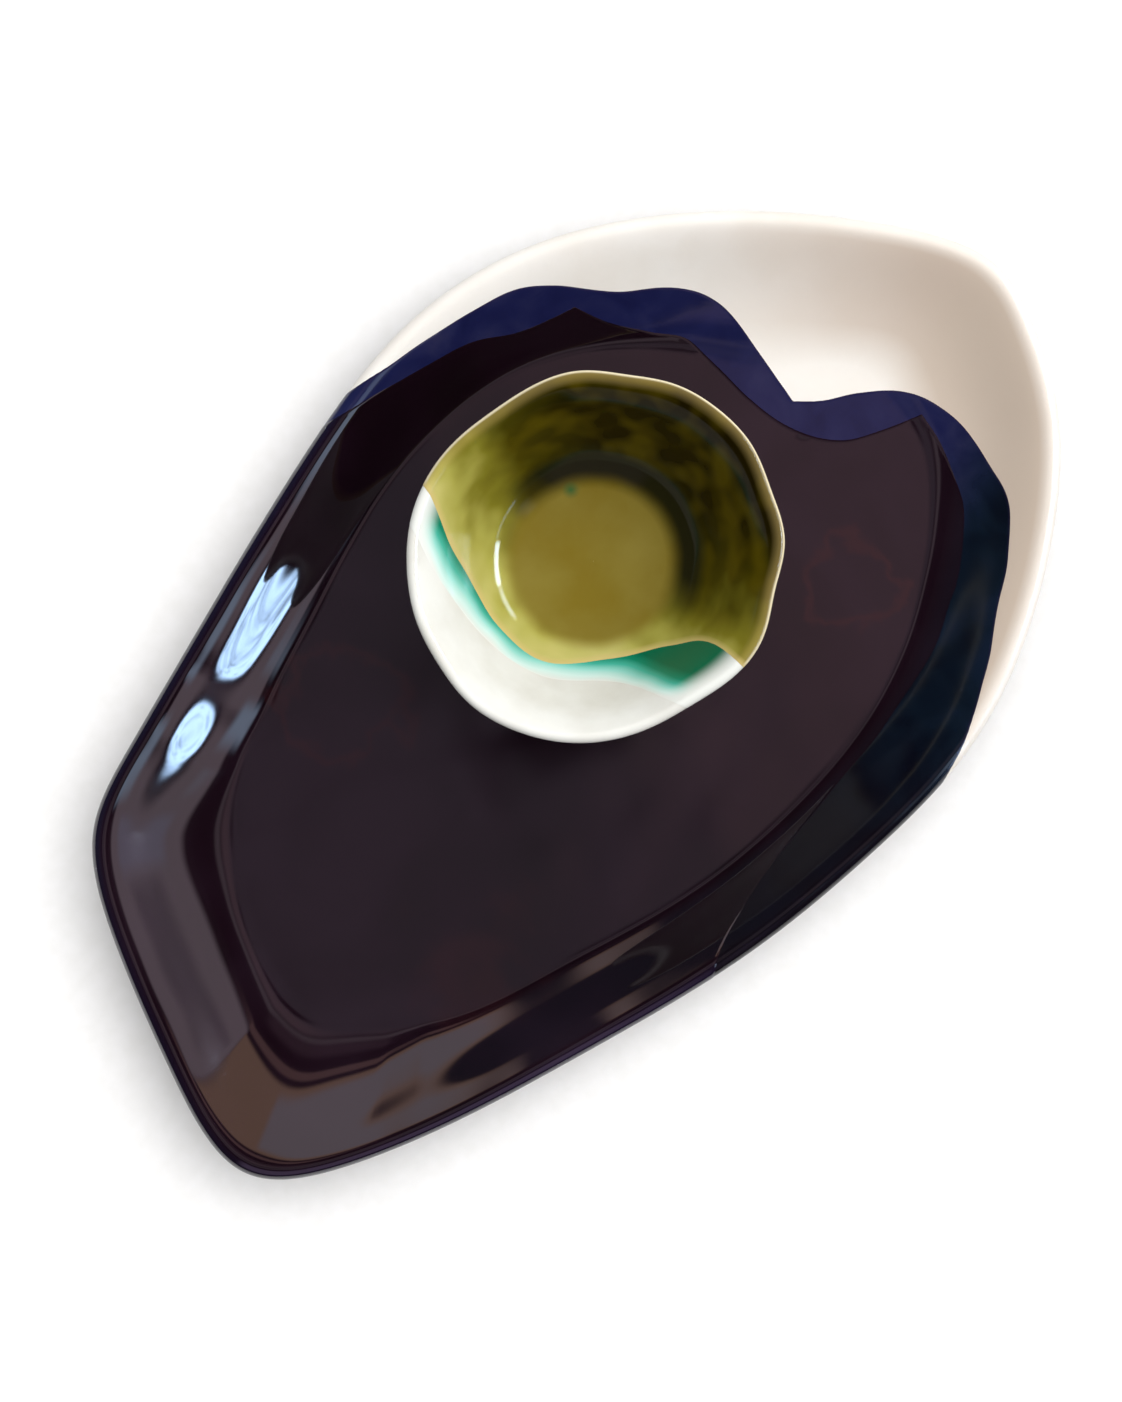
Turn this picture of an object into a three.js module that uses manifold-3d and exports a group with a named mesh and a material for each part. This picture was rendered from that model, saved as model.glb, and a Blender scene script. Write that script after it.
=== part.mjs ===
// Chip and dip platter: a slumped stoneware platter with a loose dip bowl standing in its well.
// Millimetres, +Z up. The origin is on the table under the middle of the platter, and +X runs along
// the platter from its broad, twice-dipped end to its narrow, pale end.

import * as THREE from "three";
import { mergeVertices } from "three/addons/utils/BufferGeometryUtils.js";
import Module from "manifold-3d";

// Platter sizes, of the bare clay
const platterLength = 403;
const platterWidth = 241.5;
const rimHeight = 25; // top of the lip at its lowest, above the table
const slabThickness = 6.4; // rolled slab, and so the width of the rounded lip
const wallSteepness = 0.8; // slope of the wall at the lip, against its mean slope
const shortRun = 40; // run of a short stretch of wall, and the share of it that curves up out of the floor
const shortBlend = 0.3;
const longRun = 48; // and of a long one
const longBlend = 0.46;
const lipReach = 9; // straight stretch of wall below the lip
const platterFootHeight = 3;
const platterFootWidth = 9;
const platterFootInset = 7; // from the edge of the well in to the foot ring
const footTaper = 0.8; // draft on each side of a foot ring

// Dip bowl sizes, of the bare clay
const bowlRimRadius = 61.5;
const bowlHeight = 48;
const bowlWall = 3;
const bowlFloorRadius = 34; // where the floor and the wall would meet without their fillet
const bowlFillet = 12; // length of the fillet along the floor and along the wall
const bowlFloorThickness = 4.5;
const bowlLipFlare = 14; // degrees that the lip leans out more than the wall
const bowlFootRadius = 31;
const bowlFootHeight = 3;
const bowlFootWidth = 5;

// Glaze coats
const coatThickness = 0.5;
const clearance = 0.3; // between a coat and what it lies on or beside, and under the bowl's foot
const bareSteps = 2; // steps of a wall's outer face that stay bare above the foot
const blockReach = 2; // size of the block that bounds a coat, against the piece under it

// How finely the round shapes are divided
const stepsPerStation = 4;
const wallSteps = 4;
const lipSteps = 4;
const bowlStepsPerStation = 3;
const edgeSteps = 2;

// Rim of the platter: place of its outer edge, run from there in to the flat floor, and rise of the lip
const rimStations = [
  { x: 202.5, y: -18, run: 60, rise: 4 },
  { x: 189, y: 16, run: 58, rise: 4 },
  { x: 159, y: 59, run: 50, rise: 3 },
  { x: 115, y: 99, run: 40, rise: 1 },
  { x: 64, y: 119, run: 34, rise: 0 },
  { x: 10, y: 119, run: 29, rise: 0 },
  { x: -50, y: 110.5, run: 31, rise: 0 },
  { x: -112, y: 100, run: 38, rise: 0.5 },
  { x: -148, y: 88.5, run: 48, rise: 0.5 },
  { x: -171, y: 58, run: 44, rise: 0 },
  { x: -190, y: 20, run: 45, rise: 0 },
  { x: -202, y: -15, run: 56, rise: 2 },
  { x: -189, y: -41, run: 55, rise: 2 },
  { x: -145, y: -66.5, run: 37, rise: 1 },
  { x: -92, y: -88, run: 30, rise: 0 },
  { x: -35, y: -107.5, run: 28, rise: 0 },
  { x: 22, y: -118.5, run: 30, rise: 0 },
  { x: 76, y: -120.5, run: 36, rise: 1 },
  { x: 128, y: -104.5, run: 40, rise: 2 },
  { x: 172, y: -76, run: 46, rise: 3 },
  { x: 195, y: -45, run: 54, rise: 3 },
];

// Edges of the two dips of the platter, drawn on its plan from one rim to the other. Each list is one lobe.
const navyEdge = [
  [
    [-30, 155], [8, 128], [41, 117.5], [73, 108.5], [91, 101], [102, 91],
    [114, 74], [129, 58], [134, 44], [132, 28], [125, 2],
  ],
  [
    [125, 2], [132, -6], [142, -13.5], [152, -25], [156.5, -40], [154, -57], [147, -75],
    [138, -85], [120, -96], [97, -108.5], [75, -118], [52, -123], [20, -135], [-20, -160],
  ],
];
const aubergineEdge = [
  [[-36, 150], [3, 125.5], [38, 114], [67, 103], [81, 92.5], [93, 86], [102, 82.5]],
  [
    [102, 82.5], [106, 69], [112, 57], [119, 46], [119, 34], [117, 14],
    [119, -5], [125, -17.5], [136, -26], [152, -34.5],
  ],
  [
    [152, -34.5], [147, -49], [138, -66], [126, -76.5], [109, -86], [86, -94],
    [52, -97.5], [14, -98], [-22, -100], [-50, -108], [-80, -130],
  ],
];

// Where the middle of the bowl stands, on the same plan
const bowlSeat = { x: 36.5, y: 19 };

// Rim of the dip bowl in even steps all the way round: how far it is pulled out or pinched in, and up or down
const bowlRimStations = [
  { out: 2.2, up: 0.4 },
  { out: 0.4, up: -0.4 },
  { out: -2.2, up: 0.6 },
  { out: -0.6, up: 0.2 },
  { out: 1.2, up: -0.6 },
  { out: 1.6, up: 0.2 },
  { out: 2.6, up: 0.8 },
  { out: 0.2, up: 0 },
  { out: -3.2, up: -0.8 },
  { out: -1, up: 0.2 },
  { out: -1.2, up: 0.6 },
  { out: 1.2, up: -0.2 },
];
const pinchFade = 1.5; // power by which the pinching fades from the rim down to the foot
const riseFade = 2; // and the rise and fall of the rim

// Edges of the olive dip and of the teal that runs out below it, across a bowl of the drawn radius
const drawnBowlRadius = 62;
const oliveEdge = [
  [[-14, 75], [-19, 60], [-31, 36], [-40, 9], [-38, -11], [-23, -27], [-6, -40.5], [3, -51], [2, -75]],
];
const tealEdge = [
  [[-24, 75], [-28, 58], [-38, 38], [-45, 10], [-41, -12], [-25.5, -29], [-15, -45], [-10, -56], [-9, -75]],
];

const wasm = await Module();
wasm.setup();

function solidOf(geometry) {
  geometry.deleteAttribute("normal");
  geometry.deleteAttribute("uv");
  const merged = mergeVertices(geometry);
  const vertProperties = merged.getAttribute("position").array;
  const triVerts = Uint32Array.from(merged.index.array);
  return new wasm.Manifold(new wasm.Mesh({ numProp: 3, vertProperties, triVerts }));
}

function geometryOf(solid) {
  const { vertProperties, triVerts } = solid.getMesh();
  const geometry = new THREE.BufferGeometry();
  geometry.setAttribute("position", new THREE.BufferAttribute(vertProperties, 3));
  geometry.setIndex(new THREE.BufferAttribute(triVerts, 1));
  return geometry;
}

// Smooth closed curve through evenly numbered values: a cubic B-spline whose control values are
// relaxed until it passes through every one of them.
function closedCurve(values) {
  const relaxingPasses = 40;
  const pick = (list, i) => list.at(i % values.length);
  let controls = values;
  for (let pass = 0; pass < relaxingPasses; pass++) {
    const last = controls;
    controls = values.map((value, i) => (6 * value - pick(last, i - 1) - pick(last, i + 1)) / 4);
  }
  return (t) => {
    const i = Math.floor(t);
    const u = t - i;
    const before = (1 - u) ** 3 * pick(controls, i - 1);
    const here = (3 * u ** 3 - 6 * u ** 2 + 4) * pick(controls, i);
    const next = (-3 * u ** 3 + 3 * u ** 2 + 3 * u + 1) * pick(controls, i + 1);
    const after = u ** 3 * pick(controls, i + 2);
    return (before + here + next + after) / 6;
  };
}

// Values of one key of the stations, sampled all the way round
function sampled(stations, key, steps) {
  const curve = closedCurve(stations.map((station) => station[key]));
  return Array.from({ length: stations.length * steps }, (_, i) => curve(i / steps));
}

// Moves a line of 2D points sideways, to the left of its direction
function offsetLine(points, distance) {
  return points.map((point, i) => {
    const before = points[Math.max(i - 1, 0)];
    const after = points[Math.min(i + 1, points.length - 1)];
    const along = after.clone().sub(before).normalize();
    return new THREE.Vector2(point.x - along.y * distance, point.y + along.x * distance);
  });
}

// Closed body from rings of points, each counter-clockwise from above, between two end points on the axis
function ringBody(firstPoint, rings, lastPoint) {
  const around = rings[0].length;
  const points = [firstPoint, ...rings.flat(), lastPoint];
  const at = (ring, step) => 1 + ring * around + (step % around);
  const lastRing = rings.length - 1;
  const triangles = [];
  for (let step = 0; step < around; step++) {
    triangles.push(0, at(0, step), at(0, step + 1));
    triangles.push(points.length - 1, at(lastRing, step + 1), at(lastRing, step));
    for (let ring = 0; ring < lastRing; ring++) {
      triangles.push(at(ring, step), at(ring + 1, step), at(ring + 1, step + 1));
      triangles.push(at(ring, step), at(ring + 1, step + 1), at(ring, step + 1));
    }
  }
  const geometry = new THREE.BufferGeometry().setFromPoints(points);
  geometry.setIndex(triangles);
  return geometry;
}

// Rounded lip between the inner and the outer face of a wall, without the two points that they share with it
function lipPoints(centre, radius, upWall, offWall) {
  return Array.from({ length: lipSteps - 1 }, (_, i) => {
    const angle = (Math.PI * (i + 1)) / lipSteps;
    const point = centre.clone().addScaledVector(offWall, radius * Math.cos(angle));
    return point.addScaledVector(upWall, radius * Math.sin(angle));
  });
}

// Underside of a foot ring from its outer top edge in, standing on the table
function footPoints(outerRadius, outerTop, width, recess) {
  return [
    new THREE.Vector2(outerRadius + footTaper, outerTop),
    new THREE.Vector2(outerRadius, 0),
    new THREE.Vector2(outerRadius - width, 0),
    new THREE.Vector2(outerRadius - width - footTaper, recess),
  ];
}

// Plan of the platter: the drawn stations, stretched to its length and width
const drawnX = sampled(rimStations, "x", stepsPerStation);
const drawnY = sampled(rimStations, "y", stepsPerStation);
const drawnBox = new THREE.Box2().setFromPoints(drawnX.map((x, i) => new THREE.Vector2(x, drawnY[i])));
const drawnMiddle = drawnBox.getCenter(new THREE.Vector2());
const stretch = new THREE.Vector2(platterLength, platterWidth).divide(drawnBox.getSize(new THREE.Vector2()));
const onPlan = (x, y) => new THREE.Vector2(x, y).sub(drawnMiddle).multiply(stretch);

const platterFloor = platterFootHeight + slabThickness;
const rimRuns = sampled(rimStations, "run", stepsPerStation);
const rimRises = sampled(rimStations, "rise", stepsPerStation);
const rimPoints = drawnX.map((x, i) => onPlan(x, drawnY[i]));
// Into the well from each rim point, as towards the middle of a circle squashed to the platter's width
const squash = platterWidth / platterLength;
const inwards = rimPoints.map((rim) => new THREE.Vector2(-rim.x * squash, -rim.y).normalize());

// Section of the platter's wall at one rim point, as distance out from the rim and height:
// up the inner face from the floor, over the lip and down the outer face
function platterWall(run, rise) {
  const lipRadius = slabThickness / 2;
  const lipTop = rimHeight + rise;
  const share = THREE.MathUtils.clamp(THREE.MathUtils.inverseLerp(shortRun, longRun, run), 0, 1);
  const blend = THREE.MathUtils.lerp(shortBlend, longBlend, share);
  const slope = wallSteepness * Math.atan2(lipTop - platterFloor, run);
  const upWall = new THREE.Vector2(Math.cos(slope), Math.sin(slope));
  const offWall = new THREE.Vector2(-Math.sin(slope), Math.cos(slope));
  const lipCentre = new THREE.Vector2(-lipRadius, lipTop - lipRadius);
  const wallTop = lipCentre.clone().addScaledVector(offWall, lipRadius);
  const inner = new THREE.CubicBezierCurve(
    new THREE.Vector2(-run, platterFloor),
    new THREE.Vector2(-run * (1 - blend), platterFloor),
    wallTop.clone().addScaledVector(upWall, -lipReach),
    wallTop,
  ).getPoints(wallSteps);
  const outer = offsetLine(inner, -slabThickness).reverse();
  return { inner, lip: lipPoints(lipCentre, lipRadius, upWall, offWall), outer };
}

const platterWalls = rimPoints.map((_, i) => platterWall(rimRuns[i], rimRises[i]));

// Rings round the platter from one section line at each rim point
function platterRings(lines) {
  return lines[0].map((_, ring) => rimPoints.map((rim, i) => {
    const { x: out, y: height } = lines[i][ring];
    const place = rim.clone().addScaledVector(inwards[i], -out);
    return new THREE.Vector3(place.x, place.y, height);
  }));
}

function platterBody() {
  const lines = platterWalls.map(({ inner, lip, outer }, i) => {
    const footEdge = -rimRuns[i] - platterFootInset;
    const foot = footPoints(footEdge, platterFootHeight, platterFootWidth, platterFootHeight);
    return [...inner, ...lip, ...outer, ...foot];
  });
  const top = new THREE.Vector3(0, 0, platterFloor);
  const underside = new THREE.Vector3(0, 0, platterFootHeight);
  return ringBody(top, platterRings(lines), underside);
}

// Coat all over the platter's well and lip and down its outer face, lying a distance off the clay
function platterCoat(distance) {
  const coated = platterWalls.map(({ inner, lip, outer }) => {
    const glazedOuter = outer.slice(0, -bareSteps);
    return [...inner, ...lip, ...glazedOuter];
  });
  const lower = coated.map((line) => offsetLine(line, distance));
  const upper = coated.map((line) => offsetLine(line, distance + coatThickness));
  const rings = [...platterRings(upper), ...platterRings(lower).reverse()];
  const top = new THREE.Vector3(0, 0, platterFloor + distance + coatThickness);
  const bottom = new THREE.Vector3(0, 0, platterFloor + distance);
  return solidOf(ringBody(top, rings, bottom));
}

// Section of the dip bowl, as radius and height over its foot: the floor's fillet and the wall inside,
// the flared lip, and the outer face
function bowlWallLine() {
  const floor = bowlFootHeight + bowlFloorThickness;
  const lipRadius = bowlWall / 2;
  const corner = new THREE.Vector2(bowlFloorRadius, floor);
  const lipCentre = new THREE.Vector2(bowlRimRadius - lipRadius, bowlHeight - lipRadius);
  const lean = lipCentre.clone().sub(corner).angle();
  const lipLean = lean - THREE.MathUtils.degToRad(bowlLipFlare);
  const upWall = new THREE.Vector2(Math.cos(lean), Math.sin(lean));
  const upLip = new THREE.Vector2(Math.cos(lipLean), Math.sin(lipLean));
  const offLip = new THREE.Vector2(-Math.sin(lipLean), Math.cos(lipLean));
  const wallTop = lipCentre.clone().addScaledVector(offLip, lipRadius);
  const wallFoot = corner.clone().addScaledVector(upWall, bowlFillet);
  const third = wallTop.distanceTo(wallFoot) / 3;
  const floorEdge = new THREE.Vector2(bowlFloorRadius - bowlFillet, floor);
  const fillet = new THREE.QuadraticBezierCurve(floorEdge, corner, wallFoot);
  const wall = new THREE.CubicBezierCurve(
    wallFoot,
    wallFoot.clone().addScaledVector(upWall, third),
    wallTop.clone().addScaledVector(upLip, -third),
    wallTop,
  );
  const inner = [...fillet.getPoints(wallSteps - 1), ...wall.getPoints(wallSteps).slice(1)];
  const outer = offsetLine(inner, -bowlWall).reverse();
  return { inner, lip: lipPoints(lipCentre, lipRadius, upLip, offLip), outer };
}

const bowlLine = bowlWallLine();
const bowlPinch = sampled(bowlRimStations, "out", bowlStepsPerStation);
const bowlRise = sampled(bowlRimStations, "up", bowlStepsPerStation);

// Rings round the bowl from its section line, pinched more the nearer they are to the rim
function bowlRings(line) {
  return line.map(({ x: radius, y: height }) => bowlPinch.map((out, i) => {
    const share = height / bowlHeight;
    const angle = (2 * Math.PI * i) / bowlPinch.length;
    const reach = radius + out * share ** pinchFade;
    const level = height + bowlRise[i] * share ** riseFade;
    return new THREE.Vector3(reach * Math.cos(angle), reach * Math.sin(angle), level);
  }));
}

function bowlBody() {
  const { inner, lip, outer } = bowlLine;
  const floor = bowlFootHeight + bowlFloorThickness;
  const aboveFoot = outer.filter((point) => point.x > bowlFootRadius + 2 * footTaper);
  const foot = footPoints(bowlFootRadius, floor - bowlWall, bowlFootWidth, bowlFootHeight);
  const rings = bowlRings([...inner, ...lip, ...aboveFoot, ...foot]);
  return ringBody(new THREE.Vector3(0, 0, floor), rings, new THREE.Vector3(0, 0, bowlFootHeight));
}

// Coat all over the inside and the lip of the bowl and down the wall outside
function bowlCoat() {
  const { inner, lip, outer } = bowlLine;
  const coated = [...inner, ...lip, ...outer.slice(0, wallSteps)];
  const upper = bowlRings(offsetLine(coated, clearance + coatThickness));
  const lower = bowlRings(offsetLine(coated, clearance));
  const floor = bowlFootHeight + bowlFloorThickness + clearance;
  const top = new THREE.Vector3(0, 0, floor + coatThickness);
  return solidOf(ringBody(top, [...upper, ...lower.reverse()], new THREE.Vector3(0, 0, floor)));
}

// Tall block over one side of a glaze edge, as far as reach along X, with the edge moved sideways by a gap
function glazeBlock(edge, gap, reach, height) {
  const lobes = edge.map((lobe) => offsetLine(lobe, gap));
  const start = lobes[0][0];
  const end = lobes.at(-1).at(-1);
  const outline = new THREE.Shape().moveTo(start.x, start.y);
  lobes.forEach((lobe) => outline.splineThru(lobe.slice(1)));
  outline.lineTo(reach, end.y).lineTo(reach, start.y).closePath();
  const settings = { depth: height, bevelEnabled: false, curveSegments: edgeSteps };
  return solidOf(new THREE.ExtrudeGeometry(outline, settings));
}

// The broad end of the platter, up to the edge of a dip
function dippedEnd(edge, gap) {
  const placed = edge.map((lobe) => lobe.map(([x, y]) => onPlan(x, y)));
  return glazeBlock(placed, gap, -platterLength * blockReach, rimHeight * blockReach);
}

// One side of the bowl, up to the edge of a glaze: 1 towards +X, -1 towards -X
function bowlSide(edge, gap, side) {
  const scale = bowlRimRadius / drawnBowlRadius;
  const placed = edge.map((lobe) => lobe.map(([x, y]) => new THREE.Vector2(x * scale, y * scale)));
  return glazeBlock(placed, gap, side * bowlRimRadius * blockReach, bowlHeight * blockReach);
}

function addPiece(group, name, geometry, color, roughness) {
  const material = new THREE.MeshStandardMaterial({ color, roughness, metalness: 0 });
  const mesh = new THREE.Mesh(geometry, material);
  mesh.name = name;
  group.add(mesh);
}

const firstCoat = platterCoat(clearance);
const layer = clearance + coatThickness;
const secondCoat = platterCoat(layer + clearance);
const creamCoat = firstCoat.subtract(dippedEnd(navyEdge, clearance));
const navyCoat = firstCoat.intersect(dippedEnd(navyEdge, 0));
const aubergineCoat = secondCoat.intersect(dippedEnd(aubergineEdge, 0));
const platter = new THREE.Group();
addPiece(platter, "platter_body", platterBody(), 0xcdb99c, 0.85);
addPiece(platter, "platter_cream_glaze", geometryOf(creamCoat), 0xefe9dc, 0.4);
addPiece(platter, "platter_navy_glaze", geometryOf(navyCoat), 0x1d2046, 0.15);
addPiece(platter, "platter_aubergine_glaze", geometryOf(aubergineCoat), 0x2b1f29, 0.08);

const wholeBowlCoat = bowlCoat();
const whiteCoat = wholeBowlCoat.intersect(bowlSide(tealEdge, -clearance, -1));
const oliveCoat = wholeBowlCoat.intersect(bowlSide(oliveEdge, 0, 1));
const besideOlive = wholeBowlCoat.intersect(bowlSide(oliveEdge, -clearance, -1));
const tealCoat = besideOlive.intersect(bowlSide(tealEdge, 0, 1));
const bowl = new THREE.Group();
const seat = onPlan(bowlSeat.x, bowlSeat.y);
bowl.position.set(seat.x, seat.y, platterFloor + 2 * layer + clearance);
addPiece(bowl, "bowl_body", bowlBody(), 0xe6ddcd, 0.7);
addPiece(bowl, "bowl_white_glaze", geometryOf(whiteCoat), 0xf2f0ea, 0.2);
addPiece(bowl, "bowl_teal_glaze", geometryOf(tealCoat), 0x2e9a86, 0.15);
addPiece(bowl, "bowl_olive_glaze", geometryOf(oliveCoat), 0x7a6219, 0.15);

const chipAndDipPlatter = new THREE.Group();
chipAndDipPlatter.add(platter, bowl);
export default chipAndDipPlatter;
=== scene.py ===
import math

import bmesh
import bpy
import numpy as np
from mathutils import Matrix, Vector


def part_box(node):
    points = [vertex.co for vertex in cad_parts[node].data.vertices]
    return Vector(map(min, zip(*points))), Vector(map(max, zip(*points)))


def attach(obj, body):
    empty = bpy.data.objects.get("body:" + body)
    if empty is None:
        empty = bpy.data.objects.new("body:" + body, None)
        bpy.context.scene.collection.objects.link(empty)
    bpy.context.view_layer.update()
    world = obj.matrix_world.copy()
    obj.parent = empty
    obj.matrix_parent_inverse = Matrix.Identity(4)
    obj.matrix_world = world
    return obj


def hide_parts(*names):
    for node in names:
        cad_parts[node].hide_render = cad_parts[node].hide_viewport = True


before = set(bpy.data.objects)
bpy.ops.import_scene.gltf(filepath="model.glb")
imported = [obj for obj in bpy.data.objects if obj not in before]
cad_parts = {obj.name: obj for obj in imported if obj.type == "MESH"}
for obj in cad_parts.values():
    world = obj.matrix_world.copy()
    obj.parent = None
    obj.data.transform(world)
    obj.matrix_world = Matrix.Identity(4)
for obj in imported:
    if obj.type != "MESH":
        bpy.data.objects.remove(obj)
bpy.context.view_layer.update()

# Studio: a white paper sweep for the platter to stand on, a dim room with one pale wall, a window in
# that wall and a large soft lamp beside it. The camera looks straight down, as a stall photograph does.
MM = 0.001
scene = bpy.context.scene


def linear(code):
    """Linear colour of an sRGB hex value."""
    parts = [int(code[i:i + 2], 16) / 255 for i in (1, 3, 5)]
    return (*[p / 12.92 if p <= 0.04045 else ((p + 0.055) / 1.055) ** 2.4 for p in parts], 1)


def feed(tree, node, inputs):
    """Gives a node its inputs: values, hex colours, or links from sockets or nodes' live outputs."""
    for key, value in inputs.items():
        if isinstance(value, bpy.types.Node):
            value = next(socket for socket in value.outputs if socket.enabled)
        if isinstance(value, bpy.types.NodeSocket):
            tree.links.new(value, node.inputs[key])
        else:
            node.inputs[key].default_value = linear(value) if str(value).startswith("#") else value


def put(tree, kind, inputs=None, stops=(), **settings):
    """Adds a node with its settings, its inputs and the stops of its ramp, as hex colours or greys."""
    node = tree.nodes.new(kind)
    for name, value in settings.items():
        setattr(node, name, value)
    feed(tree, node, inputs or {})
    if stops:
        elements = node.color_ramp.elements
        while len(elements) < len(stops):
            elements.new(1)
        for element, (place, colour) in zip(elements, stops):
            element.position = place
            element.color = linear(colour) if isinstance(colour, str) else (colour, colour, colour, 1)
    return node


def new_material(name):
    """A material with its node tree, its shader and the place of each point on the object."""
    material = bpy.data.materials.new(name)
    material.use_nodes = True
    tree = material.node_tree
    position = put(tree, "ShaderNodeTexCoord").outputs["Object"]
    return material, tree, tree.nodes["Principled BSDF"], position


photo_turn = math.radians(-50)
photo_right = Vector((math.cos(photo_turn), math.sin(photo_turn), 0))
photo_up = Vector((-math.sin(photo_turn), math.cos(photo_turn), 0))
photo_middle = Vector((-7.94, -3.13, 0)) * MM
camera_height = 1.4

camera_data = bpy.data.cameras.new("camera")
camera_data.sensor_fit = "HORIZONTAL"
camera_data.sensor_width = 36
camera_data.lens = 128.7
camera = bpy.data.objects.new("camera", camera_data)
camera.location = photo_middle + Vector((0, 0, camera_height))
camera.rotation_euler = (0, 0, photo_turn)
scene.collection.objects.link(camera)
scene.camera = camera
scene.view_settings.view_transform = "Standard"

sweep_half = 4  # metres
sweep_corners = [(x * sweep_half, y * sweep_half, 0) for x, y in ((-1, -1), (1, -1), (1, 1), (-1, 1))]
sweep_mesh = bpy.data.meshes.new("sweep")
sweep_mesh.from_pydata(sweep_corners, [], [(0, 1, 2, 3)])
sweep = bpy.data.objects.new("sweep", sweep_mesh)
scene.collection.objects.link(sweep)
sweep.visible_diffuse = False
paper, tree, shader, position = new_material("matt white paper")
fibre = put(tree, "ShaderNodeTexNoise", {"Vector": position, "Scale": 1 / (6 * MM)})
tone = put(tree, "ShaderNodeValToRGB", {"Fac": fibre}, stops=[(0.3, "#f7f6f5"), (0.7, "#fbfafa")])
feed(tree, shader, {"Base Color": tone, "Roughness": 0.9})
sweep_mesh.materials.append(paper)

room = bpy.data.worlds.new("room")
scene.world = room
room.cycles.sampling_method = "NONE"  # so that gloss mirrors the room and matt faces see the sky
room.use_nodes = True
tree = room.node_tree
direction = put(tree, "ShaderNodeTexCoord").outputs["Generated"]
height = put(tree, "ShaderNodeSeparateXYZ", {0: direction}).outputs["Z"]
tilt = put(tree, "ShaderNodeMath", {0: height}, operation="ARCCOSINE")


def room_panel(behind, bearing, half_width, blur, tilts, softness, colour, strength):
    """Lays a lit panel over what is behind it. Its bearing is from the photograph's right, its tilts are
    from overhead, blur and softness are those of its sides and its ends, and all are in degrees."""
    turn = math.radians(bearing)
    ahead = photo_right * math.cos(turn) + photo_up * math.sin(turn)
    aside = photo_up * math.cos(turn) - photo_right * math.sin(turn)
    along = put(tree, "ShaderNodeVectorMath", {0: direction, 1: ahead}, operation="DOT_PRODUCT")
    across = put(tree, "ShaderNodeVectorMath", {0: direction, 1: aside}, operation="DOT_PRODUCT")
    angle = put(tree, "ShaderNodeMath", {0: across, 1: along}, operation="ARCTAN2")
    angle = put(tree, "ShaderNodeMath", {0: angle}, operation="ABSOLUTE")
    mask = 1.0
    sides = (angle, half_width, blur)
    for value, edge, fading in (sides, (tilt, tilts[0], -softness), (tilt, tilts[1], softness)):
        fade = put(tree, "ShaderNodeMapRange", {
            "Value": value, "From Min": math.radians(edge - fading), "From Max": math.radians(edge + fading),
            "To Min": 1, "To Max": 0}, interpolation_type="SMOOTHSTEP")
        mask = put(tree, "ShaderNodeMath", {0: fade, 1: mask}, operation="MULTIPLY")
    lit = [channel * strength for channel in linear(colour)]
    return put(tree, "ShaderNodeMix", {0: mask, 6: behind, 7: lit}, data_type="RGBA")


# From the dim room over the pale bands of its walls to the window's three panes, which are last
surround = "#2c282c"
for bearing, half_width, blur, tilts, softness, colour, strength in (
        (150, 45, 14, (40, 90), 14, "#3d5568", 0.5),
        (20, 180, 2, (-9, 7), 2, "#7d7480", 1),
        (25, 75, 45, (2, 8), 2, "#a88c96", 1),
        (20, 180, 2, (-9, 1.4), 0.9, "#0c080b", 1),
        (20, 180, 2, (9, 13), 1.5, "#a3939c", 1),
        (20, 180, 2, (15, 28), 2, "#0c080b", 1),
        (75, 35, 4, (12, 20), 3, "#6a5560", 1),
        (70, 45, 6, (29, 33.5), 1, "#9a7672", 1.6),
        (-2, 34, 3, (35, 61), 3, "#e6d0de", 1.1),
        (-6, 14, 5, (46, 56), 3, "#d8d0ec", 1.35),
        (18, 6, 3, (50, 54), 3, "#b5a5b5", 1),
        (76, 44, 2, (37, 68), 1.5, "#d0a68e", 1.6),
        (92, 27, 3, (41, 66), 3, "#dccdd8", 1.3),
        (-36, 5, 5, (24, 50), 4, "#bcd0ee", 2.6),
        (-90, 32, 6, (28, 70), 6, "#a08cb0", 1.2),
        (-24, 12.5, 0.8, (63.5, 75), 0.8, "#b4d6ff", 21),
        (4, 13, 0.8, (57, 67), 0.8, "#cfe4ff", 120),
        (28, 9, 1.5, (58, 67), 1.5, "#cfe4ff", 60)):
    surround = room_panel(surround, bearing, half_width, blur, tilts, softness, colour, strength)

# Branches before the window break up its light, low on the right
leaf_tilt = math.radians(61)
leaf_side = 0.5
branches = put(tree, "ShaderNodeTexNoise", {"Vector": direction, "Scale": 40, "Detail": 5, "Roughness": 0.7})
leaves = put(tree, "ShaderNodeMapRange", {
    "Value": branches, "From Min": 0.42, "From Max": 0.54, "To Min": 0.3, "To Max": 1})
outdoors = put(tree, "ShaderNodeMath", {0: tilt, 1: leaf_tilt}, operation="GREATER_THAN")
rightward = put(tree, "ShaderNodeVectorMath", {0: direction, 1: photo_right}, operation="DOT_PRODUCT")
outdoors = put(tree, "ShaderNodeMath", {0: rightward, 1: outdoors}, operation="MULTIPLY")
outdoors = put(tree, "ShaderNodeMath", {0: outdoors, 1: leaf_side}, operation="GREATER_THAN")
surround = put(tree, "ShaderNodeMix", {0: outdoors, 6: surround, 7: leaves}, data_type="RGBA",
               blend_type="MULTIPLY")

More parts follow.
